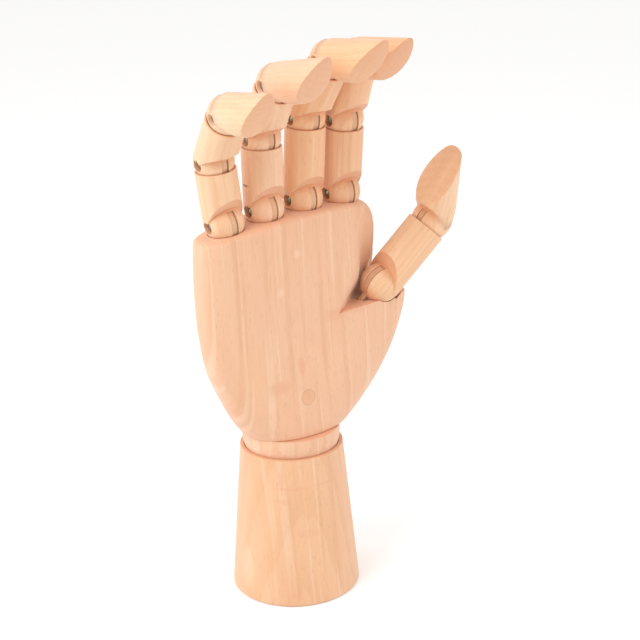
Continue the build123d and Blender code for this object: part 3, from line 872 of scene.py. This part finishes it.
def web_edge():
    """The palm's edge over the thumb's web, skinned over rows of one closed outline."""
    work = bmesh.new()
    rings = []
    for row in web_rows():
        rings.append([work.verts.new(Vector((point.x, point.y, height)) * MM) for point, height in row])
    for lower, upper in zip(rings, rings[1:]):
        for index in range(len(lower)):
            after = (index + 1) % len(lower)
            work.faces.new((lower[index], lower[after], upper[after], upper[index]))
    work.faces.new(list(reversed(rings[0])))
    work.faces.new(rings[-1])
    bmesh.ops.recalc_face_normals(work, faces=work.faces)
    mesh = bpy.data.meshes.new("palm_web_edge")
    store(work, mesh, WEB_SHARP_ANGLE)
    new_piece("palm_web_edge", mesh, "palm", palm_wood)


def seen_directly(nodes, links):
    """1 for what the camera sees, also in a reflection or through glass, and 0 for what lights."""
    path = nodes.new("ShaderNodeLightPath")
    seen = path.outputs["Is Camera Ray"]
    for ray in ("Is Glossy Ray", "Is Transmission Ray"):
        either = nodes.new("ShaderNodeMath")
        either.operation = "MAXIMUM"
        links.new(seen, either.inputs[0])
        links.new(path.outputs[ray], either.inputs[1])
        seen = either.outputs[0]
    return seen


def studio_floor():
    """A pale floor that shows white to the camera, and keeps the hand's soft shadow."""
    tree = Tree("studio_floor")
    tree.shader.inputs["Base Color"].default_value = FLOOR_GREY
    tree.shader.inputs["Roughness"].default_value = FLOOR_ROUGHNESS
    tree.shader.inputs["Specular IOR Level"].default_value = FLOOR_SHINE
    tree.shader.inputs["Emission Color"].default_value = WHITE
    seen = seen_directly(tree.nodes, tree.links)
    tree.feed(tree.shader.inputs["Emission Strength"], tree.maths("MULTIPLY", seen, FLOOR_LIFT))
    bpy.ops.mesh.primitive_plane_add(size=FLOOR_SIZE, location=(0, 0, -FLOOR_DROP))
    floor = bpy.context.object
    floor.name = "studio_floor"
    floor.data.materials.append(tree.material)


def camera_axes():
    """The camera's right, up and back directions, from its azimuth, pitch and roll."""
    level = Vector((math.cos(CAMERA_AZIMUTH), math.sin(CAMERA_AZIMUTH), 0.0))
    away = Vector((math.sin(CAMERA_AZIMUTH), -math.cos(CAMERA_AZIMUTH), 0.0))
    back = away * math.cos(CAMERA_PITCH) + Vector((0.0, 0.0, math.sin(CAMERA_PITCH)))
    upward = back.cross(level)
    right = level * math.cos(CAMERA_ROLL) + upward * math.sin(CAMERA_ROLL)
    up = upward * math.cos(CAMERA_ROLL) - level * math.sin(CAMERA_ROLL)
    return right, up, back


def place_camera():
    right, up, back = camera_axes()
    data = bpy.data.cameras.new("camera")
    data.lens = CAMERA_LENS
    data.sensor_width = SENSOR_WIDTH
    data.clip_start = CAMERA_NEAR
    camera = bpy.data.objects.new("camera", data)
    turn = Matrix((right, up, back)).transposed().to_4x4()
    camera.matrix_world = Matrix.Translation(CAMERA_TARGET + back * CAMERA_DISTANCE) @ turn
    bpy.context.collection.objects.link(camera)
    bpy.context.scene.camera = camera


def light_studio():
    """A white room that lights more softly than it shows, and three large lamps."""
    world = bpy.data.worlds.new("studio")
    world.use_nodes = True
    nodes = world.node_tree.nodes
    links = world.node_tree.links
    background = nodes["Background"]
    background.inputs["Color"].default_value = WORLD_COLOUR
    strength = nodes.new("ShaderNodeMapRange")
    strength.inputs["To Min"].default_value = WORLD_STRENGTH
    strength.inputs["To Max"].default_value = 1.0
    links.new(seen_directly(nodes, links), strength.inputs["Value"])
    links.new(strength.outputs["Result"], background.inputs["Strength"])
    bpy.context.scene.world = world
    right, up, back = camera_axes()
    for name, (across, above, behind), size, power in LAMPS:
        data = bpy.data.lights.new(name, "AREA")
        data.shape = "RECTANGLE"
        data.size = size[0]
        data.size_y = size[1]
        data.energy = power
        lamp = bpy.data.objects.new(name, data)
        lamp.location = CAMERA_TARGET + right * across + up * above + back * behind
        lamp.rotation_euler = (CAMERA_TARGET - lamp.location).to_track_quat("-Z", "Y").to_euler()
        bpy.context.collection.objects.link(lamp)


web_edge()
for digit, (steeper, taper, bend) in FINGERTIPS.items():
    recut_fingertip(digit, steeper, taper, bend)

studio_floor()
place_camera()
light_studio()
bpy.context.scene.view_settings.view_transform = "Standard"
